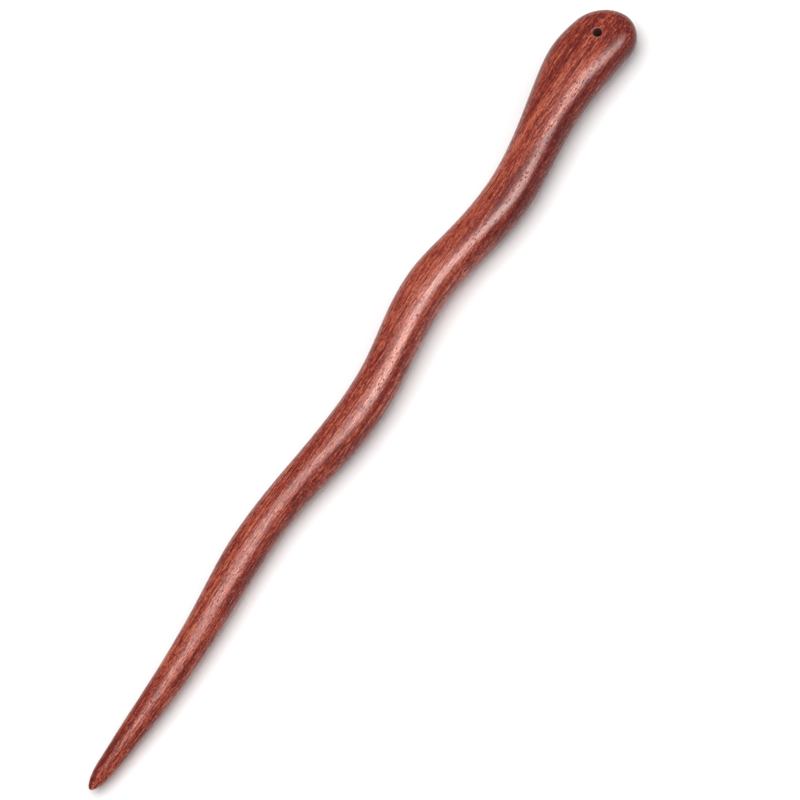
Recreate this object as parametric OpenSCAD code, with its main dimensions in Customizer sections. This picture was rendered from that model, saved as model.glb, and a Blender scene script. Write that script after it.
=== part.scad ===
// Wavy hair stick, carved and polished from one piece of wood. A broad,
// rounded head with one small cord hole runs into a slim shaft that swings
// from side to side and thins to a blunt tip. The stick lies flat on a table
// along X, with its head at +X, its left edge at +Y and the table at Z = 0.

/* [Size] */
// Length from the end of the tip to the end of the head
overall_length = 180; // [150:1:210]
// Width of the head at its broadest place
head_width = 13.1; // [11:0.1:15]
// Thickness where the head begins, the thickest place
thickness = 8.6; // [7:0.1:10]

/* [Wave] */
// Sideways swing of the shaft, as a share of the swing in the section table
swing_share = 1; // [0:0.05:1.3]

/* [Cord hole] */
// Diameter of the drilled hole
hole_diameter = 1.9; // [1.2:0.1:2.6]
// Distance from the end of the head to the middle of the hole
hole_inset = 7; // [5:0.1:9]
// Sideways place of the hole, from the middle of the head towards the left
hole_aside = 0.2; // [-1:0.05:1]
// Width and depth of the eased edge round each mouth of the hole
mouth_ease = 0.2; // [0.05:0.05:0.4]

/* [Head] */
// Fullness of the head's end seen from the side: 2 is an ellipse, more is blunter
head_fullness = 2.6; // [2:0.1:4]

/* [Smoothness] */
// Rings between one section of the table and the next
rings_per_stretch = 4; // [2:1:6]
// Rings that close each end
end_rings = 9; // [4:1:12]
// Points round each ring
ring_points = 32; // [16:4:40]

/* [Hidden] */
wood_colour = "#96483c";

// Columns of the section table
ALONG = 0;
SIDE = 1;
HALF_WIDTH = 2;
HALF_THICK = 3;
LIFT = 4;
SQUARENESS = 5;

// Sections of the stick as drawn, 180 mm long, in millimetres: distance from
// the end of the tip, sideways place of the middle, half width, half thickness,
// height of the underside above the table, and squareness of the section
// (2 is an ellipse, more is boxier).
sections = [
    //  along, side, half_width, half_thick, lift, squareness
    [  5,  0.35, 1.84, 1.72, 1.00, 2.0],
    [ 16,  0.02, 2.50, 2.30, 0.75, 2.0],
    [ 28, -0.05, 3.00, 2.75, 0.45, 2.0],
    [ 40,  0.60, 3.36, 3.10, 0.25, 2.0],
    [ 52,  1.66, 3.76, 3.35, 0.10, 2.0],
    [ 64,  1.34, 3.67, 3.55, 0.00, 2.0],
    [ 75, -0.12, 4.01, 3.70, 0.00, 2.0],
    [ 86, -1.06, 4.22, 3.80, 0.00, 2.0],
    [ 96, -0.41, 4.11, 3.92, 0.00, 2.0],
    [105,  1.14, 4.33, 4.10, 0.00, 2.1],
    [115,  1.84, 4.48, 4.15, 0.00, 2.2],
    [125,  0.32, 4.40, 4.05, 0.00, 2.2],
    [136, -1.05, 4.61, 4.05, 0.00, 2.1],
    [147,  0.00, 4.72, 4.15, 0.00, 2.0],
    [157,  1.67, 5.38, 4.30, 0.00, 2.0],
    [165,  2.30, 6.37, 4.25, 0.00, 2.1],
    [170,  2.01, 6.55, 4.10, 0.00, 2.3],
    [174,  1.45, 6.32, 3.90, 0.00, 2.4],
];
drawn_length = 180;
drawn_head_width = 13.1;
drawn_thickness = 8.6;

// What each column is multiplied by to reach the driving sizes
width_scale = head_width / drawn_head_width;
thick_scale = thickness / drawn_thickness;
length_scale = overall_length / drawn_length;
column_scale = [length_scale, swing_share * width_scale, width_scale, thick_scale, thick_scale, 1];

last_row = len(sections) - 1;

// One value of the table, carried on in a straight line past both ends
function measured(column, row) =
    row < 0 ? 2 * measured(column, 0) - measured(column, -row)
    : row > last_row ? 2 * measured(column, last_row) - measured(column, 2 * last_row - row)
    : sections[row][column] * column_scale[column];

// Control value that draws a cubic spline through the measured one
function control(column, row) =
    (8 * measured(column, row) - measured(column, row - 1) - measured(column, row + 1)) / 6;

// A column of the table, smoothed: place 0 is the first row, 1 the next one
function smoothed(column, place) =
    let (row = floor(place), t = place - row)
    ((1 - t)^3 * control(column, row - 1)
     + (3 * t^3 - 6 * t^2 + 4) * control(column, row)
     + (1 + 3 * t + 3 * t^2 - 3 * t^3) * control(column, row + 1)
     + t^3 * control(column, row + 2)) / 6;

// Change of a column for each millimetre along, measured over a short step
slope_step = 0.05;
function slope(column, place) =
    (smoothed(column, place + slope_step) - smoothed(column, place - slope_step))
    / (smoothed(ALONG, place + slope_step) - smoothed(ALONG, place - slope_step));

// Section at a place of the table, as a row with the same columns
function section_at(place) = [for (column = [ALONG : SQUARENESS]) smoothed(column, place)];

// Section some way past an end row, where the body runs straight on
function section_past(place, distance) =
    [for (column = [ALONG : SQUARENESS])
        column == ALONG ? smoothed(ALONG, place) + distance
        : column == SQUARENESS ? smoothed(SQUARENESS, place)
        : smoothed(column, place) + distance * slope(column, place)];

function signed_power(value, power) = sign(value) * abs(value)^power;

// Middle height of a section, whose underside never dips below the table
function middle_height(section) = max(0, section[LIFT]) + section[HALF_THICK];

// Ring of points round a section, narrowed and thinned by the two shares
function ring(section, width_share, thick_share) =
    [for (point = [0 : ring_points - 1])
        let (turn = 360 * point / ring_points, power = 2 / section[SQUARENESS])
        [section[ALONG] - overall_length / 2,
         section[SIDE] + width_share * section[HALF_WIDTH] * signed_power(cos(turn), power) - side_middle,
         middle_height(section) + thick_share * section[HALF_THICK] * signed_power(sin(turn), power)]];

// Point that closes an end
function pole(section) =
    [section[ALONG] - overall_length / 2, section[SIDE] - side_middle, middle_height(section)];

body_places = [for (place = [0 : 1 / rings_per_stretch : last_row]) place];
body_sections = [for (place = body_places) section_at(place)];

// Middle of the whole stick from side to side, which is put at Y = 0
side_middle = (max([for (section = body_sections) section[SIDE] + section[HALF_WIDTH]])
    + min([for (section = body_sections) section[SIDE] - section[HALF_WIDTH]])) / 2;

tip_length = smoothed(ALONG, 0);
head_end_length = overall_length - smoothed(ALONG, last_row);
end_turns = [for (step = [1 : end_rings - 1]) 90 * step / end_rings];

tip_rings = [for (turn = end_turns)
    ring(section_past(0, -tip_length * sin(turn)), cos(turn), cos(turn))];
body_rings = [for (section = body_sections) ring(section, 1, 1)];
head_rings = [for (turn = end_turns)
    ring(section_past(last_row, head_end_length * sin(turn)),
         cos(turn), (1 - sin(turn)^head_fullness)^(1 / head_fullness))];

// The rings of the tip are made from the body outwards, so they are turned round
rings = concat([for (i = [len(tip_rings) - 1 : -1 : 0]) tip_rings[i]], body_rings, head_rings);
points = concat([for (one_ring = rings) each one_ring],
    [pole(section_past(0, -tip_length)), pole(section_past(last_row, head_end_length))]);
tip_pole = len(points) - 2;
head_pole = len(points) - 1;

function index(ring_number, point) = ring_number * ring_points + (point % ring_points);

side_faces = [for (r = [0 : len(rings) - 2], p = [0 : ring_points - 1])
    each [[index(r, p), index(r + 1, p), index(r + 1, p + 1)],
          [index(r, p), index(r + 1, p + 1), index(r, p + 1)]]];
tip_faces = [for (p = [0 : ring_points - 1]) [tip_pole, index(0, p), index(0, p + 1)]];
head_faces = [for (p = [0 : ring_points - 1])
    [head_pole, index(len(rings) - 1, p + 1), index(len(rings) - 1, p)]];

// Where the hole is drilled, and the heights of the surface over and under it
hole_x = overall_length / 2 - hole_inset;
hole_section = section_at(lookup(overall_length - hole_inset,
    [for (place = body_places) [smoothed(ALONG, place), place]]));
hole_y = hole_section[SIDE] - side_middle + hole_aside;
hole_half_height = hole_section[HALF_THICK]
    * (1 - abs(hole_aside / hole_section[HALF_WIDTH])^hole_section[SQUARENESS])^(1 / hole_section[SQUARENESS]);
hole_radius = hole_diameter / 2;
// Sides of the round cutters, and how far they run out past the surface
cutter_sides = 48;
cutter_reach = 0.5;

module carved_body() {
    polyhedron(points = points, faces = concat(side_faces, tip_faces, head_faces), convexity = 4);
}

// Cone that eases one mouth of the hole, drawn from the surface's height
module mouth_cutter() {
    translate([0, 0, -mouth_ease])
        cylinder(h = mouth_ease + cutter_reach, r1 = hole_radius,
                 r2 = hole_radius + mouth_ease + cutter_reach, $fn = cutter_sides);
}

module cord_hole() {
    translate([hole_x, hole_y, middle_height(hole_section)]) {
        cylinder(h = 2 * (hole_half_height + cutter_reach), r = hole_radius, center = true, $fn = cutter_sides);
        for (side = [0, 1])
            mirror([0, 0, side])
                translate([0, 0, hole_half_height])
                    mouth_cutter();
    }
}

module stick() {
    color(wood_colour)
        difference() {
            carved_body();
            cord_hole();
        }
}

stick();
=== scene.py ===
"""Dresses the wavy hair stick.

One finely meshed body stands for the plain solid: the carved shaft and head
with its drilled cord hole, in polished, straight-grained red wood. A pale
floor, soft studio lights and the camera complete the scene. The scene is in
metres, in the solid's own frame: +X towards the head, +Y to the left edge and
+Z up from the table. The form and the grain of the wood are described in
millimetres, as their classes say.
"""

import logging
import math
from dataclasses import dataclass, field
from enum import Enum, IntEnum

import bpy
import numpy as np
from mathutils import Matrix, Vector


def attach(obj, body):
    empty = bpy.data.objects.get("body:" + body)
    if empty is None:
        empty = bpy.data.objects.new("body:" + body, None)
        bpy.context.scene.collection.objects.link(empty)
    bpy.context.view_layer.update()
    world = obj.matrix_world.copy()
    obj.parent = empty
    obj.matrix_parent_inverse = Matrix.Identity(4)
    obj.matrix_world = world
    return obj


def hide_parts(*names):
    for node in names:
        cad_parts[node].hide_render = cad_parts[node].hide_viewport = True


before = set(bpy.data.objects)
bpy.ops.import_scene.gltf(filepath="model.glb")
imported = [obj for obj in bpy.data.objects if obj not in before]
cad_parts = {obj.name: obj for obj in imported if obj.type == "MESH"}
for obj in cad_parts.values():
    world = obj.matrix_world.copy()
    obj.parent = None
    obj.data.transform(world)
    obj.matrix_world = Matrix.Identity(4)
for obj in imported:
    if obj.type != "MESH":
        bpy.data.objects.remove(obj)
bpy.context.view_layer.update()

log = logging.getLogger("hair_stick")
Colour = tuple[float, float, float]
Socket = bpy.types.NodeSocket

MM = 0.001
QUARTER_TURN = math.pi / 2
FULL_TURN = 2 * math.pi
NOISE_MEAN = 0.5
ALONG_STICK = Vector((1.0, 0.0, 0.0))
UP = Vector((0.0, 0.0, 1.0))


class Face(Enum):
    """The two broad faces of the stick, as the sign of their height."""

    TOP = 1
    UNDERSIDE = -1


class Finish(Enum):
    """The finishes of the stick, as the numbers of their materials."""

    POLISHED = 0
    DRILLED = 1
    EASED = 2


class Column(IntEnum):
    """The values of a section, as the numbers of their columns."""

    ALONG = 0
    SIDE = 1
    HALF_WIDTH = 2
    HALF_THICK = 3
    LIFT = 4
    SQUARENESS = 5


@dataclass(frozen=True)
class Section:
    """One measured section of the stick, in millimetres.

    along is the distance from the end of the tip, side the place of the
    middle, lift the height of the underside, and squareness 2 for an ellipse
    and more for a boxier section.
    """

    along: float
    side: float
    half_width: float
    half_thick: float
    lift: float
    squareness: float

    def row(self) -> list[float]:
        """Returns the section's values in the order of their columns."""
        return [self.along, self.side, self.half_width, self.half_thick, self.lift, self.squareness]


SECTIONS = (
    Section(5, 0.35, 1.84, 1.72, 1.00, 2.0),
    Section(16, 0.02, 2.50, 2.30, 0.75, 2.0),
    Section(28, -0.05, 3.00, 2.75, 0.45, 2.0),
    Section(40, 0.60, 3.36, 3.10, 0.25, 2.0),
    Section(52, 1.66, 3.76, 3.35, 0.10, 2.0),
    Section(64, 1.34, 3.67, 3.55, 0.00, 2.0),
    Section(75, -0.12, 4.01, 3.70, 0.00, 2.0),
    Section(86, -1.06, 4.22, 3.80, 0.00, 2.0),
    Section(96, -0.41, 4.11, 3.92, 0.00, 2.0),
    Section(105, 1.14, 4.33, 4.10, 0.00, 2.1),
    Section(115, 1.84, 4.48, 4.15, 0.00, 2.2),
    Section(125, 0.32, 4.40, 4.05, 0.00, 2.2),
    Section(136, -1.05, 4.61, 4.05, 0.00, 2.1),
    Section(147, 0.00, 4.72, 4.15, 0.00, 2.0),
    Section(157, 1.67, 5.38, 4.30, 0.00, 2.0),
    Section(165, 2.30, 6.37, 4.25, 0.00, 2.1),
    Section(170, 2.01, 6.55, 4.10, 0.00, 2.3),
    Section(174, 1.45, 6.32, 3.90, 0.00, 2.4),
)


@dataclass
class Slices:
    """Sections at many distances along the stick, one value each per distance."""

    x: np.ndarray
    middle_y: np.ndarray
    middle_z: np.ndarray
    half_width: np.ndarray
    half_thick: np.ndarray
    squareness: np.ndarray

    def reach(self, turn: np.ndarray) -> np.ndarray:
        """Measures from the middle of each slice to its edge.

        Args:
            turn: Angle from the left edge upwards, in radians.

        Returns:
            The distance to the surface in that direction, in millimetres.
        """
        across = np.abs(np.cos(turn)) / self.half_width
        upwards = np.abs(np.sin(turn)) / self.half_thick
        return (across**self.squareness + upwards**self.squareness) ** (-1 / self.squareness)


@dataclass
class CarvedForm:
    """The smooth surface that the section table describes, in millimetres.

    head_fullness is 2 for a head that ends as an ellipse when it is seen from
    the side, and more for a blunter one. The last four fields are worked out
    from the others.
    """

    sections: tuple[Section, ...] = SECTIONS
    length: float = 180.0
    head_fullness: float = 2.6
    samples_per_stretch: int = 200
    columns: np.ndarray = field(init=False)
    tip_slope: np.ndarray = field(init=False)
    head_slope: np.ndarray = field(init=False)
    side_middle: float = field(init=False)

    def __post_init__(self) -> None:
        """Draws the smoothing spline once, and finds the middle from side to side."""
        rows = np.array([section.row() for section in self.sections])
        last = len(rows) - 1
        places = np.linspace(0, last, last * self.samples_per_stretch + 1)
        self.columns = self.spline(rows, places)
        self.tip_slope = self.slope(0, 1)
        self.head_slope = self.slope(-2, -1)
        side = self.columns[:, Column.SIDE]
        half_width = self.columns[:, Column.HALF_WIDTH]
        self.side_middle = ((side + half_width).max() + (side - half_width).min()) / 2

    @staticmethod
    def spline(rows: np.ndarray, places: np.ndarray) -> np.ndarray:
        """Draws a smooth curve that passes close to measured rows.

        It is a uniform cubic spline. Its control rows stand a little outside
        the measured ones, which draws the curve back towards them. The first
        and last stretches are mirrored, so that it reaches both end rows.

        Args:
            rows: Measured values, a row for each section.
            places: Where to read the spline, 0 at the first row and 1 at the next.

        Returns:
            The smoothed rows, one for each place.
        """
        spare = 3
        before = 2 * rows[0] - rows[spare:0:-1]
        after = 2 * rows[-1] - rows[-2 : -2 - spare : -1]
        measured = np.vstack([before, rows, after])
        control = (8 * measured[1:-1] - measured[:-2] - measured[2:]) / 6
        row = np.minimum(np.floor(places).astype(int), len(rows) - 2)
        t = (places - row)[:, None]
        start = row + spare - 1
        return (
            (1 - t) ** 3 * control[start - 1]
            + (3 * t**3 - 6 * t**2 + 4) * control[start]
            + (1 + 3 * t + 3 * t**2 - 3 * t**3) * control[start + 1]
            + t**3 * control[start + 2]
        ) / 6

    def slope(self, one: int, other: int) -> np.ndarray:
        """Returns the change of each value, per millimetre along the stick, between two samples."""
        change = self.columns[other] - self.columns[one]
        return change / change[Column.ALONG]

    @property
    def tip_length(self) -> float:
        """Returns the length of the rounded tip."""
        return float(self.columns[0, Column.ALONG])

    @property
    def head_end_length(self) -> float:
        """Returns the length of the rounded end of the head."""
        return self.length - float(self.columns[-1, Column.ALONG])

    def slices(self, x: np.ndarray) -> Slices:
        """Cuts the form across at the given places.

        Args:
            x: Places along the stick, from minus to plus half the length.

        Returns:
            The slices there, narrowed and thinned where an end rounds off.
        """
        along = np.asarray(x, float) + self.length / 2
        known = self.columns[:, Column.ALONG]
        values = np.stack([np.interp(along, known, column) for column in self.columns.T], axis=-1)
        tip_part = np.maximum(self.tip_length - along, 0)
        head_part = np.maximum(along - known[-1], 0)
        past_head = head_part[..., None] * self.head_slope
        past_tip = tip_part[..., None] * self.tip_slope
        carried = values + (past_head - past_tip)
        half_thick = carried[..., Column.HALF_THICK]
        tip_share = np.sqrt(1 - np.minimum(tip_part / self.tip_length, 1) ** 2)
        head_gone = np.minimum(head_part / self.head_end_length, 1)
        full = self.head_fullness
        return Slices(
            x=along - self.length / 2,
            middle_y=carried[..., Column.SIDE] - self.side_middle,
            middle_z=np.maximum(carried[..., Column.LIFT], 0) + half_thick,
            half_width=carried[..., Column.HALF_WIDTH] * tip_share * np.sqrt(1 - head_gone**2),
            half_thick=half_thick * tip_share * (1 - head_gone**full) ** (1 / full),
            squareness=values[..., Column.SQUARENESS],
        )

    def height(self, x: np.ndarray, y: np.ndarray, face: Face) -> np.ndarray:
        """Finds the height of a broad face over points of the table.

        Args:
            x: Places along the stick.
            y: Places across the stick.
            face: The broad face that is read.

        Returns:
            The height of that face at each point.
        """
        cut = self.slices(x)
        across = np.minimum(np.abs(y - cut.middle_y) / cut.half_width, 1)
        rise = cut.half_thick * (1 - across**cut.squareness) ** (1 / cut.squareness)
        return cut.middle_z + face.value * rise


@dataclass(frozen=True)
class SandingWave:
    """One shallow wave that sanding leaves, in millimetres.

    deep is its mean depth, long its length along the stick, turns how often
    it goes round the stick, and start where it begins, in radians.
    """

    deep: float
    long: float
    turns: int
    start: float


@dataclass(frozen=True)
class HandFinish:
    """Shallow unevenness that filing and sanding by hand leave, in millimetres.

    It fades out where the stick reaches less than least_reach from its middle
    line, so that both ends stay whole.
    """

    waves: tuple[SandingWave, ...] = (
        SandingWave(0.012, 31.0, 2, 0.4),
        SandingWave(0.009, 17.0, -3, 2.1),
        SandingWave(0.006, 9.5, 4, 4.4),
        SandingWave(0.003, 5.2, -6, 1.3),
    )
    least_reach: float = 0.5

    def depth(self, x: np.ndarray, turn: np.ndarray) -> np.ndarray:
        """Measures how far the surface lies inside the ideal form.

        Args:
            x: Places along the stick.
            turn: Angle round the stick, in radians.

        Returns:
            The depth at each place, never below zero.
        """
        total = np.zeros(np.broadcast(x, turn).shape)
        for wave in self.waves:
            swing = np.sin(FULL_TURN * x / wave.long + wave.turns * turn + wave.start)
            total += wave.deep * (1 + swing)
        return total


@dataclass(frozen=True)
class CordHole:
    """The drilled hole through the head, in millimetres.

    inset is the distance from its middle to the head's end, aside how far it
    lies to the left of the head's middle, and ease the radius of its rolled
    edges. The steps count the bands of faces from the skin to an edge, over
    the edge and down the wall. The opening that it needs in the skin reaches
    half_rings and half_columns to each side of its middle.
    """

    diameter: float = 1.9
    inset: float = 7.0
    aside: float = 0.2
    ease: float = 0.2
    patch_steps: int = 7
    ease_steps: int = 5
    wall_steps: int = 12
    half_rings: int = 6
    half_columns: int = 7

    @property
    def radius(self) -> float:
        """Returns the radius of the straight wall."""
        return self.diameter / 2


@dataclass(frozen=True)
class Opening:
    """The part of the skin that gives way to one mouth of the hole."""

    rings: range
    columns: list[int]

    def border(self) -> list[tuple[int, int]]:
        """Goes once round the opening.

        Returns:
            The ring and the column of each point on its border, in order.
        """
        rings, columns = self.rings, self.columns
        border = [(rings[0], column) for column in columns[:-1]]
        border += [(ring, columns[-1]) for ring in rings[:-1]]
        border += [(rings[-1], column) for column in columns[:0:-1]]
        border += [(ring, columns[0]) for ring in rings[:0:-1]]
        return border

    def cells(self) -> set[tuple[int, int]]:
        """Lists the faces of the skin that are left out.

        Returns:
            The lower ring and the lower column of each of them.
        """
        lower = [min(pair) for pair in zip(self.columns[:-1], self.columns[1:])]
        return {(ring, column) for ring in self.rings[:-1] for column in lower}


@dataclass
class MeshSheet:
    """Vertices and faces gathered for one mesh, in millimetres."""

    points: list[np.ndarray] = field(default_factory=list)
    faces: list[tuple[int, ...]] = field(default_factory=list)
    finishes: list[int] = field(default_factory=list)
    count: int = 0

    def add_points(self, points: np.ndarray) -> np.ndarray:
        """Adds points.

        Args:
            points: The new points, whose last axis is x, y and z.

        Returns:
            Their numbers, in the shape of the points without the last axis.
        """
        flat = points.reshape(-1, 3)
        self.points.append(flat)
        numbers = np.arange(self.count, self.count + len(flat)).reshape(points.shape[:-1])
        self.count += len(flat)
        return numbers

    def add_face(self, corners: tuple[int, ...], finish: Finish = Finish.POLISHED) -> None:
        """Adds one face with its finish."""
        self.faces.append(tuple(int(corner) for corner in corners))
        self.finishes.append(finish.value)

    def join_loops(
        self, outer: np.ndarray, inner: np.ndarray, finish: Finish, turned: bool = False
    ) -> None:
        """Joins two closed loops of the same length with a band of faces.

        Args:
            outer: Numbers of the points of the first loop.
            inner: Numbers of the points of the second loop.
            finish: The band's finish.
            turned: Whether the faces look the other way.
        """
        size = len(outer)
        for i in range(size):
            j = (i + 1) % size
            corners = (outer[i], outer[j], inner[j], inner[i])
            self.add_face(corners[::-1] if turned else corners, finish)

    def as_object(self, name: str, materials: dict[Finish, bpy.types.Material]) -> bpy.types.Object:
        """Makes the gathered mesh into a smooth-shaded object.

        Args:
            name: Name of the object.
            materials: The material of each finish.

        Returns:
            The new object, in metres.
        """
        mesh = bpy.data.meshes.new(name)
        mesh.from_pydata((np.vstack(self.points) * MM).tolist(), [], self.faces)
        for finish in Finish:
            mesh.materials.append(materials[finish])
        mesh.polygons.foreach_set("material_index", self.finishes)
        mesh.polygons.foreach_set("use_smooth", [True] * len(self.faces))
        mesh.validate()
        mesh.update()
        made = bpy.data.objects.new(name, mesh)
        bpy.context.scene.collection.objects.link(made)
        return made


@dataclass
class NodeSheet:
    """A material's node tree, with short calls that add and join its nodes."""

    material: bpy.types.Material

    def add(self, kind: str, **settings: object) -> bpy.types.Node:
        """Adds a node.

        Args:
            kind: Kind of the node.
            settings: Its settings by name.

        Returns:
            The new node.
        """
        node = self.material.node_tree.nodes.new(kind)
        for name, value in settings.items():
            setattr(node, name, value)
        return node

    def join(self, source: Socket, target: Socket) -> None:
        """Joins one socket to another."""
        self.material.node_tree.links.new(source, target)

    def place(self) -> Socket:
        """Returns the socket of the place on the object, in millimetres."""
        spot = self.add("ShaderNodeTexCoord").outputs["Object"]
        return self.vector("MULTIPLY", spot, (1 / MM,) * 3)

    def vector(self, operation: str, first: Socket, second: Socket | Colour) -> Socket:
        """Works on a vector.

        Args:
            operation: Name of the operation.
            first: Socket of the first vector.
            second: Socket of the second vector, or its three numbers.

        Returns:
            The socket of the result.
        """
        node = self.add("ShaderNodeVectorMath", operation=operation)
        self.join(first, node.inputs[0])
        if isinstance(second, Socket):
            self.join(second, node.inputs[1])
        else:
            node.inputs[1].default_value = second
        return node.outputs[0]

    def number(self, operation: str, *values: Socket | float) -> Socket:
        """Works on numbers.

        Args:
            operation: Name of the operation.
            values: Sockets or plain numbers, in the operation's order.

        Returns:
            The socket of the result.
        """
        node = self.add("ShaderNodeMath", operation=operation)
        for place, value in enumerate(values):
            if isinstance(value, Socket):
                self.join(value, node.inputs[place])
            else:
                node.inputs[place].default_value = value
        return node.outputs[0]

    def spread(self, value: Socket, start: float, stop: float) -> Socket:
        """Stretches part of a value to 0 and 1, with soft ends.

        Args:
            value: Socket of the value.
            start: The value that becomes 0.
            stop: The value that becomes 1, above or below start.

        Returns:
            The socket of the result, which stays 0 and 1 beyond that part.
        """
        node = self.add("ShaderNodeMapRange", interpolation_type="SMOOTHSTEP")
        self.join(value, node.inputs["Value"])
        node.inputs["From Min"].default_value = start
        node.inputs["From Max"].default_value = stop
        return node.outputs["Result"]

    def noise(self, place: Socket, detail: float = 1.0, rough: float = 0.5) -> bpy.types.Node:
        """Adds soft noise.

        Args:
            place: Socket of the place, already scaled.
            detail: Number of finer layers.
            rough: Strength of the finer layers.

        Returns:
            The noise node.
        """
        node = self.add("ShaderNodeTexNoise", noise_dimensions="3D")
        self.join(place, node.inputs["Vector"])
        node.inputs["Scale"].default_value = 1.0
        node.inputs["Detail"].default_value = detail
        node.inputs["Roughness"].default_value = rough
        return node

    def tint(self, share: Socket, under: Socket | Colour, over: Socket | Colour) -> Socket:
        """Lays one colour over another.

        Args:
            share: Socket with the share of the upper colour.
            under: Socket or value of the lower colour.
            over: Socket or value of the upper colour.

        Returns:
            The socket of the mixed colour.
        """
        node = self.add("ShaderNodeMix", data_type="RGBA")
        named = {socket.identifier: socket for socket in node.inputs}
        self.join(share, named["Factor_Float"])
        for name, value in (("A_Color", under), ("B_Color", over)):
            if isinstance(value, Socket):
                self.join(value, named[name])
            else:
                named[name].default_value = (*value, 1.0)
        return next(socket for socket in node.outputs if socket.identifier == "Result_Color")

    def relief(self, height: Socket, shader: bpy.types.Node, unit: float = 1.0) -> None:
        """Gives a surface a fine relief.

        Args:
            height: Socket of the height.
            shader: The surface's shader.
            unit: How many metres one unit of that height stands for.
        """
        bump = self.add("ShaderNodeBump")
        bump.inputs["Distance"].default_value = unit
        self.join(height, bump.inputs["Height"])
        self.join(bump.outputs["Normal"], shader.inputs["Normal"])


def new_material(name: str) -> tuple[NodeSheet, bpy.types.Node]:
    """Makes a material with one surface shader.

    Args:
        name: Name of the material.

    Returns:
        Its node sheet, and the shader node.
    """
    material = bpy.data.materials.new(name)
    material.use_nodes = True
    shader = material.node_tree.nodes["Principled BSDF"]
    return NodeSheet(material), shader


@dataclass(frozen=True)
class Tone:
    """One linear colour of the wood, at its stop from 0 for the darkest to 1 for the lightest."""

    stop: float
    colour: Colour


@dataclass(frozen=True)
class GrainLayer:
    """One layer of the grain: soft streaks of one length and width, in millimetres.

    Its noise shifts the tone by up to half its strength each way, and start
    tells that noise from the other layers' noise.
    """

    long: float
    wide: float
    strength: float
    start: float


@dataclass(frozen=True)
class Stripe:
    """One broad stripe of the tone, in millimetres: most are growth stripes of the log, and a few
    darker ones are painted shade.

    side is how far it lies to the left of the middle, wide its width, and
    from_x and to_x are its ends along the stick. shift is added to the tone,
    above zero for a lighter stripe and below zero for a darker one.
    """

    side: float
    wide: float
    from_x: float
    to_x: float
    shift: float


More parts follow.
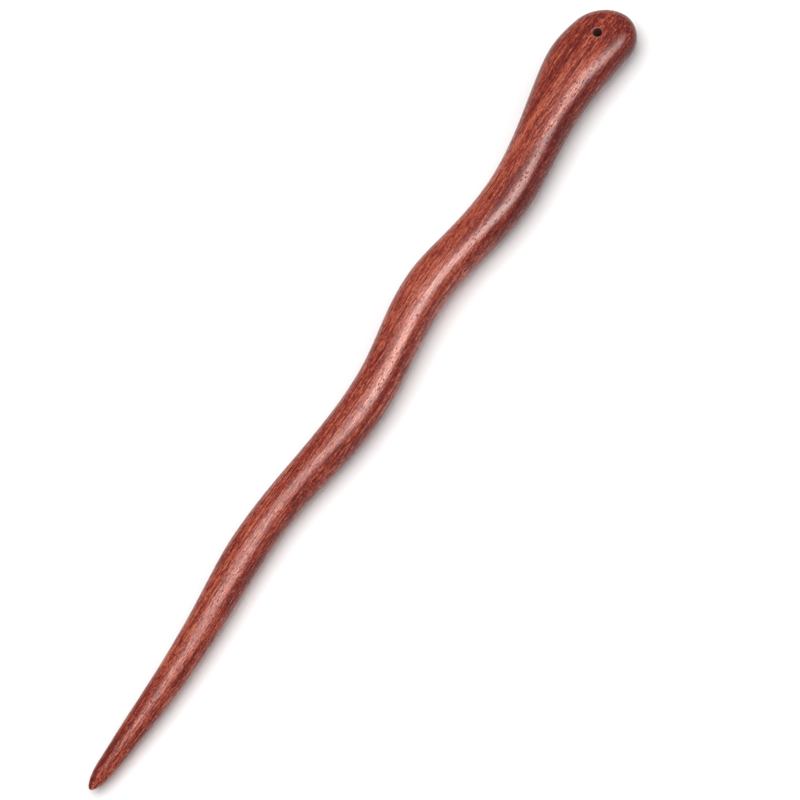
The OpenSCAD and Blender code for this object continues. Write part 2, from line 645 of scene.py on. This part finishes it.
@dataclass(frozen=True)
class PolishedWood:
    """Dark red, straight-grained hardwood, sanded fine and polished by hand.

    The tone starts from middle_tone, and the layers and the stripes shift it. Most stripes are the
    log's own growth stripes; the darker ones along the right flank and over the head's right side are
    painted shade.
    A layer's start moves its noise by the shares of layer_shift, along, aside
    and upwards. The growth rings stand upright, so the streaks are tallness
    times as high as they are wide. All of it drifts aside by up to half of
    drift_reach, in slow noise of drift_size. A stripe's long edges blur over
    stripe_softness and its ends over stripe_fade, each way.

    pore_share of the cells that pore_size divides the wood into hold an open
    pore. It begins and is full at the two distances of pore_edge from the
    cell's middle, counted in cells. Its colour goes pore_darkness of the way
    to pore_colour, and pore_dullness is added to its roughness. Colours are
    linear, and all other lengths are in millimetres.
    """

    name: str = "polished_wood_and_painted_shade"
    tallness: float = 1.5
    middle_tone: float = 0.5
    tones: tuple[Tone, ...] = (
        Tone(0.00, (0.100, 0.011, 0.010)),
        Tone(0.25, (0.175, 0.020, 0.014)),
        Tone(0.50, (0.276, 0.037, 0.021)),
        Tone(0.75, (0.384, 0.072, 0.040)),
        Tone(1.00, (0.492, 0.140, 0.079)),
    )
    layers: tuple[GrainLayer, ...] = (
        GrainLayer(60.0, 2.6, 0.55, 3.0),
        GrainLayer(34.0, 0.85, 0.50, 17.0),
        GrainLayer(18.0, 0.33, 1.12, 31.0),
        GrainLayer(5.5, 0.21, 1.45, 59.0),
        GrainLayer(1.6, 0.16, 1.45, 83.0),
        GrainLayer(0.5, 0.17, 1.65, 97.0),
    )
    layer_shift: tuple[float, float, float] = (1.0, 0.37, 0.71)
    stripes: tuple[Stripe, ...] = (
        Stripe(-0.62, 1.35, -98.0, -66.0, -0.29),
        Stripe(-1.75, 0.7, -98.0, -82.0, 0.18),
        Stripe(-2.7, 0.8, -77.0, -56.0, 0.16),
        Stripe(0.9, 1.4, -58.0, -26.0, 0.12),
        # Painted shade: these three darker stripes follow the shaft's right flank under the
        # highlight, where shade falls.
        Stripe(-3.6, 3.4, -50.0, -24.0, -0.13),
        Stripe(-4.6, 3.4, -26.0, -9.0, -0.12),
        Stripe(-6.0, 3.2, -9.0, 18.0, -0.14),
        Stripe(4.4, 4.6, 50.0, 95.0, -0.10),
        Stripe(1.7, 0.8, 56.0, 95.0, -0.20),
        Stripe(0.6, 1.0, 48.0, 78.0, 0.26),
        Stripe(-1.1, 0.9, 64.0, 86.0, 0.12),
        # Painted shade: darkens the head's right flank, where shade and a dark reflection fall.
        Stripe(-5.6, 5.2, 36.0, 95.0, -0.40),
        Stripe(-2.1, 2.4, 83.0, 99.0, -0.33),
    )
    stripe_softness: float = 0.35
    stripe_fade: float = 8.0
    drift_size: tuple[float, float] = (55.0, 9.0)
    drift_rough: float = 0.4
    drift_reach: float = 1.2
    pore_size: tuple[float, float] = (0.92, 0.32)
    pore_share: float = 0.52
    pore_edge: tuple[float, float] = (0.34, 0.24)
    pore_colour: Colour = (0.095, 0.011, 0.008)
    pore_darkness: float = 0.75
    pore_dullness: float = 0.52
    roughness: float = 0.23
    unevenness: float = 0.22
    sheen_size: tuple[float, float] = (0.30, 0.22)
    ior: float = 1.34
    fibre_relief: float = 0.012
    pore_relief: float = 0.012

    def stretched(
        self, sheet: NodeSheet, place: Socket, size: tuple[float, float], start: float = 0.0
    ) -> Socket:
        """Scales a place so that noise there has the given length and width.

        Args:
            sheet: The material's node sheet.
            place: Socket of the place.
            size: Length and width of the noise.
            start: Shift that tells one layer's noise from another's.

        Returns:
            The socket of the scaled place.
        """
        long, wide = size
        scaled = sheet.vector("MULTIPLY", place, (1 / long, 1 / wide, 1 / (self.tallness * wide)))
        return sheet.vector("ADD", scaled, tuple(part * start for part in self.layer_shift))

    def grain_place(self, sheet: NodeSheet) -> Socket:
        """Makes the place in the log, with the grain's slow drift.

        Args:
            sheet: The material's node sheet.

        Returns:
            The socket of the place.
        """
        place = sheet.place()
        slow = sheet.noise(self.stretched(sheet, place, self.drift_size), rough=self.drift_rough)
        centred = sheet.vector("SUBTRACT", slow.outputs["Color"], (NOISE_MEAN,) * 3)
        drift = sheet.vector("MULTIPLY", centred, (0.0, self.drift_reach, self.drift_reach))
        return sheet.vector("ADD", place, drift)

    def stripe_share(self, sheet: NodeSheet, along: Socket, side: Socket, stripe: Stripe) -> Socket:
        """Measures how much of a stripe covers a place.

        Args:
            sheet: The material's node sheet.
            along: Socket of the place along the stick.
            side: Socket of the place across it.
            stripe: The stripe.

        Returns:
            The socket that is 1 in the stripe and fades to 0 outside it.
        """
        half, soft, fade = stripe.wide / 2, self.stripe_softness, self.stripe_fade
        aside = sheet.number("ABSOLUTE", sheet.number("SUBTRACT", side, stripe.side))
        across = sheet.spread(aside, half + soft, half - soft)
        enters = sheet.spread(along, stripe.from_x - fade, stripe.from_x + fade)
        leaves = sheet.spread(along, stripe.to_x + fade, stripe.to_x - fade)
        return sheet.number("MULTIPLY", across, sheet.number("MULTIPLY", enters, leaves))

    def tone(self, sheet: NodeSheet, place: Socket) -> tuple[Socket, Socket]:
        """Adds up the layers and the stripes.

        Args:
            sheet: The material's node sheet.
            place: Socket of the place in the log.

        Returns:
            The socket of the tone, and that of the finest layer.
        """
        total = None
        for layer in self.layers:
            scaled = self.stretched(sheet, place, (layer.long, layer.wide), layer.start)
            finest = sheet.noise(scaled).outputs[0]
            share = sheet.number("MULTIPLY_ADD", finest, layer.strength, -NOISE_MEAN * layer.strength)
            total = share if total is None else sheet.number("ADD", total, share)
        total = sheet.number("ADD", total, self.middle_tone)
        split = sheet.add("ShaderNodeSeparateXYZ")
        sheet.join(place, split.inputs[0])
        along, side = split.outputs[0], split.outputs[1]
        for stripe in self.stripes:
            share = self.stripe_share(sheet, along, side, stripe)
            total = sheet.number("MULTIPLY_ADD", share, stripe.shift, total)
        return total, finest

    def pores(self, sheet: NodeSheet, place: Socket) -> Socket:
        """Scatters the open pores.

        Args:
            sheet: The material's node sheet.
            place: Socket of the place in the log.

        Returns:
            The socket that is 1 in a pore and 0 beside it.
        """
        cells = sheet.add("ShaderNodeTexVoronoi", feature="F1", voronoi_dimensions="3D")
        sheet.join(self.stretched(sheet, place, self.pore_size), cells.inputs["Vector"])
        cells.inputs["Scale"].default_value = 1.0
        split = sheet.add("ShaderNodeSeparateColor")
        sheet.join(cells.outputs["Color"], split.inputs[0])
        chosen = sheet.number("LESS_THAN", split.outputs[0], self.pore_share)
        inside = sheet.spread(cells.outputs["Distance"], *self.pore_edge)
        return sheet.number("MULTIPLY", inside, chosen)

    def colour(self, sheet: NodeSheet, tone: Socket, pores: Socket) -> Socket:
        """Turns the tone into a colour and darkens the pores.

        Args:
            sheet: The material's node sheet.
            tone: Socket of the tone.
            pores: Socket that is 1 in a pore.

        Returns:
            The socket of the colour.
        """
        ramp = sheet.add("ShaderNodeValToRGB")
        elements = ramp.color_ramp.elements
        for between in self.tones[1:-1]:
            elements.new(between.stop)
        for element, tone_of_wood in zip(elements, self.tones):
            element.position = tone_of_wood.stop
            element.color = (*tone_of_wood.colour, 1.0)
        sheet.join(tone, ramp.inputs[0])
        darker = sheet.number("MULTIPLY", pores, self.pore_darkness)
        return sheet.tint(darker, ramp.outputs[0], self.pore_colour)

    def material(self) -> bpy.types.Material:
        """Builds the material.

        Returns:
            The finished material.
        """
        sheet, shader = new_material(self.name)
        place = self.grain_place(sheet)
        tone, fibres = self.tone(sheet, place)
        pores = self.pores(sheet, place)
        sheet.join(self.colour(sheet, tone, pores), shader.inputs["Base Color"])

        # Gloss, a little uneven, and far duller in the pores
        mottle = sheet.noise(self.stretched(sheet, place, self.sheen_size)).outputs[0]
        least = self.roughness - NOISE_MEAN * self.unevenness
        uneven = sheet.number("MULTIPLY_ADD", mottle, self.unevenness, least)
        dull = sheet.number("MULTIPLY_ADD", pores, self.pore_dullness, uneven)
        sheet.join(dull, shader.inputs["Roughness"])
        shader.inputs["IOR"].default_value = self.ior

        # Relief of the fibres and the pores
        raised = sheet.number("MULTIPLY", fibres, self.fibre_relief * MM)
        height = sheet.number("MULTIPLY_ADD", pores, -self.pore_relief * MM, raised)
        sheet.relief(height, shader)
        return sheet.material


@dataclass(frozen=True)
class CutWood:
    """Unpolished wood where the drill or the file has cut it, with faint rings.

    ring_size is the length and height of the rings, and ring_edge holds the
    two values of their noise between which dark turns to light. Colours are
    linear, and lengths are in millimetres.
    """

    name: str
    dark: Colour
    light: Colour
    ring_size: tuple[float, float] = (3.0, 0.18)
    ring_detail: float = 2.0
    ring_rough: float = 0.6
    ring_edge: tuple[float, float] = (0.35, 0.7)
    ring_relief: float = 0.02
    roughness: float = 0.7

    def material(self) -> bpy.types.Material:
        """Builds the material.

        Returns:
            The finished material.
        """
        sheet, shader = new_material(self.name)
        long, high = self.ring_size
        place = sheet.vector("MULTIPLY", sheet.place(), (1 / long, 1 / long, 1 / high))
        rings = sheet.noise(place, self.ring_detail, self.ring_rough).outputs[0]
        share = sheet.spread(rings, *self.ring_edge)
        sheet.join(sheet.tint(share, self.dark, self.light), shader.inputs["Base Color"])
        shader.inputs["Roughness"].default_value = self.roughness
        sheet.relief(rings, shader, self.ring_relief * MM)
        return sheet.material


@dataclass
class HairStick:
    """The whole stick: its form, its hole, its hand finish and its wood.

    The skin has columns round the stick and rings along it, ring_step
    millimetres apart between the rounded ends.
    """

    form: CarvedForm = field(default_factory=CarvedForm)
    hole: CordHole = field(default_factory=CordHole)
    hand_finish: HandFinish = field(default_factory=HandFinish)
    wood: PolishedWood = field(default_factory=PolishedWood)
    # The drilled wall: unpolished cut wood, with its colours also darkened as painted shade inside
    # the hole.
    cut_wall_wood_and_shade: CutWood = CutWood(
        "drilled_wood_and_painted_shade", dark=(0.14, 0.034, 0.026), light=(0.27, 0.084, 0.052)
    )
    edge_wood: CutWood = CutWood(
        "eased_red_wood", dark=(0.24, 0.045, 0.030), light=(0.34, 0.085, 0.060)
    )
    columns: int = 96
    ring_step: float = 0.3
    tip_rings: int = 18
    head_rings: int = 24

    def ring_places(self) -> np.ndarray:
        """Spaces the rings out, close together at both ends.

        Returns:
            The places of the rings along the stick, without its two end points.
        """
        start = self.form.tip_length - self.form.length / 2
        stop = self.form.length / 2 - self.form.head_end_length
        body = np.linspace(start, stop, round((stop - start) / self.ring_step) + 1)
        tip_turns = np.arange(self.tip_rings - 1, 0, -1) * (QUARTER_TURN / self.tip_rings)
        head_turns = np.arange(1, self.head_rings) * (QUARTER_TURN / self.head_rings)
        tip = start - self.form.tip_length * np.sin(tip_turns)
        head = stop + self.form.head_end_length * np.sin(head_turns)
        return np.concatenate([tip, body, head])

    def sanded(self, points: np.ndarray) -> np.ndarray:
        """Draws points a little towards the middle line, as the hand finish does.

        Args:
            points: Points on or inside the ideal form.

        Returns:
            The moved points.
        """
        cut = self.form.slices(points[..., 0])
        across = points[..., 1] - cut.middle_y
        upwards = points[..., 2] - cut.middle_z
        turn = np.arctan2(upwards, across)
        depth = self.hand_finish.depth(points[..., 0], turn)
        share = 1 - depth / np.maximum(cut.reach(turn), self.hand_finish.least_reach)
        moved = points.copy()
        moved[..., 1] = cut.middle_y + across * share
        moved[..., 2] = cut.middle_z + upwards * share
        return moved

    def skin_points(self, places: np.ndarray) -> np.ndarray:
        """Works out the points of the outer skin.

        Args:
            places: Places of the rings along the stick.

        Returns:
            Points, as rings by columns by three.
        """
        turn = np.arange(self.columns) * (FULL_TURN / self.columns)
        x, turns = np.meshgrid(places, turn, indexing="ij")
        cut = self.form.slices(x)
        reach = cut.reach(turns)
        y = cut.middle_y + reach * np.cos(turns)
        z = cut.middle_z + reach * np.sin(turns)
        return np.stack([x, y, z], axis=-1)

    def hole_centre(self) -> tuple[float, float]:
        """Finds the middle of the hole.

        Returns:
            Its place along and across the stick.
        """
        x = self.form.length / 2 - self.hole.inset
        cut = self.form.slices(np.array([x]))
        return x, float(cut.middle_y[0]) + self.hole.aside

    def opening(self, places: np.ndarray, face: Face) -> Opening:
        """Chooses the part of the skin that gives way to a mouth of the hole.

        Args:
            places: Places of the rings along the stick.
            face: The broad face of the mouth.

        Returns:
            The opening, round the ring nearest to the hole and the face's middle column.
        """
        middle = int(np.argmin(np.abs(places - self.hole_centre()[0])))
        rings = range(middle - self.hole.half_rings, middle + self.hole.half_rings + 1)
        quarter = self.columns // 4
        offsets = range(-self.hole.half_columns, self.hole.half_columns + 1)
        columns = [face.value * (quarter + offset) % self.columns for offset in offsets]
        return Opening(rings, columns)

    def cover(self, sheet: MeshSheet, skin: np.ndarray, left_out: set[tuple[int, int]]) -> None:
        """Covers the skin with faces, and closes both ends with fans of triangles.

        Args:
            sheet: The mesh that is gathered.
            skin: Numbers of the skin's points, as rings by columns.
            left_out: The lower ring and column of the faces that are left out.
        """
        for ring in range(len(skin) - 1):
            for column in range(self.columns):
                if (ring, column) in left_out:
                    continue
                other = (column + 1) % self.columns
                near, far = skin[ring], skin[ring + 1]
                sheet.add_face((near[column], near[other], far[other], far[column]))
        half = self.form.length / 2
        cut = self.form.slices(np.array([-half, half]))
        tip_point, head_point = sheet.add_points(np.column_stack([cut.x, cut.middle_y, cut.middle_z]))
        for column in range(self.columns):
            other = (column + 1) % self.columns
            sheet.add_face((tip_point, skin[0, other], skin[0, column]))
            sheet.add_face((head_point, skin[-1, column], skin[-1, other]))

    def mouth(self, sheet: MeshSheet, border: np.ndarray, rim: np.ndarray, face: Face) -> np.ndarray:
        """Fills an opening with a patch and rolls its edge over into the hole.

        Args:
            sheet: The mesh that is gathered.
            border: Numbers of the points round the opening.
            rim: The same points' places before sanding.
            face: The broad face of the mouth.

        Returns:
            Numbers of the loop at this end of the straight wall.
        """
        hole = self.hole
        centre = np.array(self.hole_centre())
        away = rim[:, :2] - centre
        outward = away / np.linalg.norm(away, axis=1)[:, None]
        edge = centre + outward * (hole.radius + hole.ease)
        edge_height = self.form.height(edge[:, 0], edge[:, 1], face)
        turned = face is Face.UNDERSIDE
        outer = border
        for step in range(1, hole.patch_steps + 1):
            share = step / hole.patch_steps
            flat = rim[:, :2] * (1 - share) + edge * share
            height = self.form.height(flat[:, 0], flat[:, 1], face)
            inner = sheet.add_points(self.sanded(np.column_stack([flat, height])))
            sheet.join_loops(outer, inner, Finish.POLISHED, turned)
            outer = inner
        for step in range(1, hole.ease_steps + 1):
            roll = QUARTER_TURN * step / hole.ease_steps
            flat = centre + outward * (hole.radius + hole.ease * (1 - math.sin(roll)))
            height = edge_height - face.value * hole.ease * (1 - math.cos(roll))
            inner = sheet.add_points(self.sanded(np.column_stack([flat, height])))
            sheet.join_loops(outer, inner, Finish.EASED, turned)
            outer = inner
        return outer

    def wall(self, sheet: MeshSheet, upper: np.ndarray, lower: np.ndarray) -> None:
        """Joins the two mouths with the straight drilled wall.

        Args:
            sheet: The mesh that is gathered.
            upper: Numbers of the loop under the upper mouth.
            lower: Numbers of the loop over the lower mouth.
        """
        points = np.vstack(sheet.points)
        top, bottom = points[upper], points[lower]
        outer = upper
        for step in range(1, self.hole.wall_steps):
            share = step / self.hole.wall_steps
            inner = sheet.add_points(top * (1 - share) + bottom * share)
            sheet.join_loops(outer, inner, Finish.DRILLED)
            outer = inner
        sheet.join_loops(outer, lower, Finish.DRILLED)

    def build(self) -> bpy.types.Object:
        """Builds and dresses the stick.

        Returns:
            The finished piece.
        """
        sheet = MeshSheet()
        places = self.ring_places()
        ideal = self.skin_points(places)
        skin = sheet.add_points(self.sanded(ideal))
        openings = {face: self.opening(places, face) for face in Face}
        left_out = set().union(*(opening.cells() for opening in openings.values()))
        self.cover(sheet, skin, left_out)
        loops = {}
        for face, opening in openings.items():
            rings, columns = zip(*opening.border())
            loops[face] = self.mouth(sheet, skin[rings, columns], ideal[rings, columns], face)
        self.wall(sheet, loops[Face.TOP], loops[Face.UNDERSIDE])
        materials = {
            Finish.POLISHED: self.wood.material(),
            Finish.DRILLED: self.cut_wall_wood_and_shade.material(),
            Finish.EASED: self.edge_wood.material(),
        }
        piece = sheet.as_object("carved_stick", materials)
        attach(piece, "root")
        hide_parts("stick")
        return piece


def stand(made: bpy.types.Object, place: Vector, directions: tuple[Vector, Vector, Vector]) -> None:
    """Places and turns an object.

    Args:
        made: The object.
        place: Where its middle goes.
        directions: Where its own x, y and z point.
    """
    turn = Matrix(directions).transposed().to_4x4()
    made.matrix_world = Matrix.Translation(place) @ turn


def facing(place: Vector) -> tuple[Vector, Vector, Vector]:
    """Finds the directions of something that looks at the stick from a place.

    Args:
        place: The place, or any point on the way to it.

    Returns:
        The directions along the stick's length, across it and away from it.
    """
    back = place.normalized()
    along = (ALONG_STICK - back * ALONG_STICK.dot(back)).normalized()
    return along, back.cross(along), back


def add_panel(name: str, size: tuple[float, float], radiance: float) -> bpy.types.Object:
    """Adds one flat, evenly bright light, which the camera doesn't see.

    Args:
        name: Name of the light.
        size: Its two sides, in metres.
        radiance: Its brightness, the same at every angle.

    Returns:
        The light's object, still to be placed.
    """
    lamp = bpy.data.lights.new(name, "AREA")
    lamp.shape = "RECTANGLE"
    lamp.size, lamp.size_y = size
    lamp.energy = radiance * math.pi * size[0] * size[1]
    made = bpy.data.objects.new(name, lamp)
    bpy.context.scene.collection.objects.link(made)
    made.visible_camera = False
    return made


@dataclass(frozen=True)
class Softbox:
    """One soft light for the matt colour, which faces the middle of the stick. In metres."""

    name: str
    place: tuple[float, float, float]
    size: tuple[float, float]
    radiance: float

    def build(self) -> None:
        """Builds the light, which doesn't show in the gloss."""
        made = add_panel(self.name, self.size, self.radiance)
        place = Vector(self.place)
        stand(made, place, facing(place))
        made.visible_glossy = False


@dataclass(frozen=True)
class Pane:
    """One pane of the gloss light, between two places along it and two across it."""

    start: float
    stop: float
    low: float
    high: float
    radiance: float


@dataclass(frozen=True)
class GlossLight:
    """The soft light over the stick that draws its satin highlight. In metres.

    Its panes lie level, each a step over the one before, so their light adds
    up and fades softly outwards.
    """

    middle: tuple[float, float, float] = (0.183, -0.281, 0.55)
    along: tuple[float, float, float] = (0.643, -0.766, 0.0)
    colour: Colour = (0.96, 0.84, 0.78)
    panes: tuple[Pane, ...] = (
        Pane(-0.55, -0.22, 0.07, 0.20, 5.6),
        Pane(-0.39, -0.29, -0.09, 0.09, 19.0),
        Pane(-0.26, 0.30, -0.18, 0.15, 8.6),
        Pane(-0.19, 0.11, -0.06, 0.09, 18.5),
        Pane(0.01, 0.50, -0.20, 0.02, 10.0),
        Pane(0.14, 0.54, 0.05, 0.32, 6.5),
    )
    step: float = 0.01

    def build(self) -> None:
        """Builds the panes, which show in the gloss alone."""
        along = Vector(self.along)
        across = UP.cross(along)
        directions = (along, across, along.cross(across))
        for number, pane in enumerate(self.panes):
            size = (pane.stop - pane.start, pane.high - pane.low)
            made = add_panel(f"gloss_pane_{number}", size, pane.radiance)
            made.data.color = self.colour
            place = Vector(self.middle) + UP * number * self.step
            place += along * (pane.start + pane.stop) / 2 + across * (pane.low + pane.high) / 2
            stand(made, place, directions)
            made.visible_diffuse = False


@dataclass(frozen=True)
class PaleFloor:
    """The matt finish of the floor, faintly cloudy down to shade of its linear colour."""

    name: str = "pale_floor"
    colour: Colour = (0.96, 0.96, 0.96)
    shade: float = 0.98
    detail: float = 2.0
    roughness: float = 0.8

    def material(self) -> bpy.types.Material:
        """Builds the material.

        Returns:
            The finished material.
        """
        sheet, shader = new_material(self.name)
        spot = sheet.add("ShaderNodeTexCoord").outputs["Object"]
        cloudy = sheet.noise(spot, detail=self.detail).outputs[0]
        darker = tuple(self.shade * part for part in self.colour)
        sheet.join(sheet.tint(cloudy, darker, self.colour), shader.inputs["Base Color"])
        shader.inputs["Roughness"].default_value = self.roughness
        return sheet.material


@dataclass(frozen=True)
class Studio:
    """A pale floor, an even surround and the soft lights. In metres."""

    floor_finish: PaleFloor = field(default_factory=PaleFloor)
    floor_reach: float = 3.0
    surround: Colour = (0.97, 0.98, 1.0)
    surround_strength: float = 0.25
    gloss: GlossLight = field(default_factory=GlossLight)
    softboxes: tuple[Softbox, ...] = (
        Softbox("key_softbox", (-0.05, 0.22, 1.0), (1.00, 0.90), 3.10),
        Softbox("ceiling_softbox", (0.0, 0.0, 1.3), (3.00, 3.00), 0.30),
        Softbox("fill_softbox", (0.55, -0.75, 0.9), (1.20, 1.20), 0.6),
    )

    def floor(self) -> None:
        """Builds the floor."""
        low, high = -self.floor_reach, self.floor_reach
        mesh = bpy.data.meshes.new("floor")
        corners = [(low, low, 0.0), (high, low, 0.0), (high, high, 0.0), (low, high, 0.0)]
        mesh.from_pydata(corners, [], [(0, 1, 2, 3)])
        mesh.materials.append(self.floor_finish.material())
        made = bpy.data.objects.new("floor", mesh)
        bpy.context.scene.collection.objects.link(made)

    def build(self) -> None:
        """Builds the floor, the surround and the lights."""
        self.floor()
        world = bpy.data.worlds.new("surround")
        world.use_nodes = True
        background = world.node_tree.nodes["Background"]
        background.inputs["Color"].default_value = (*self.surround, 1.0)
        background.inputs["Strength"].default_value = self.surround_strength
        bpy.context.scene.world = world
        self.gloss.build()
        for softbox in self.softboxes:
            softbox.build()


@dataclass(frozen=True)
class PhotoCamera:
    """The camera of the reference view.

    The stick's length runs up the picture at slope degrees from the picture's
    horizontal. The camera aims at a point aim_height over the table, which
    lies aim_aside pixels to the right of the stick's middle and above it.
    sensor_width is in millimetres, and the other lengths are in metres.
    """

    towards_camera: tuple[float, float, float] = (-0.220, -0.293, 0.930)
    distance: float = 0.75
    slope: float = 55.35
    pixels_per_metre: float = 5346.0
    picture_size: float = 800.0
    sensor_width: float = 36.0
    aim_height: float = 0.0042
    aim_aside: tuple[float, float] = (41.6, -11.9)
    clip: tuple[float, float] = (0.01, 20.0)

    def build(self) -> bpy.types.Object:
        """Builds the camera and makes it the scene's own.

        Returns:
            The camera's object.
        """
        along, across, back = facing(Vector(self.towards_camera))
        slope = math.radians(self.slope)
        right = along * math.cos(slope) - across * math.sin(slope)
        upward = along * math.sin(slope) + across * math.cos(slope)
        pixel = 1 / self.pixels_per_metre
        aim = Vector((0.0, 0.0, self.aim_height))
        aim += right * self.aim_aside[0] * pixel + upward * self.aim_aside[1] * pixel
        data = bpy.data.cameras.new("photo_camera")
        data.sensor_width = self.sensor_width
        data.lens = self.sensor_width * self.pixels_per_metre * self.distance / self.picture_size
        data.clip_start, data.clip_end = self.clip
        made = bpy.data.objects.new("photo_camera", data)
        bpy.context.scene.collection.objects.link(made)
        stand(made, aim + back * self.distance, (right, upward, back))
        bpy.context.scene.camera = made
        return made


def main() -> None:
    """Builds the camera, the stick and the studio in order, and reports each."""
    logging.basicConfig(level=logging.INFO, format="%(message)s")
    camera = PhotoCamera().build()
    log.info("%s placed", camera.name)
    piece = HairStick().build()
    log.info("%s: %d faces", piece.name, len(piece.data.polygons))
    Studio().build()
    log.info("studio lit")
    bpy.context.scene.view_settings.view_transform = "Standard"


if __name__ == "__main__":
    main()
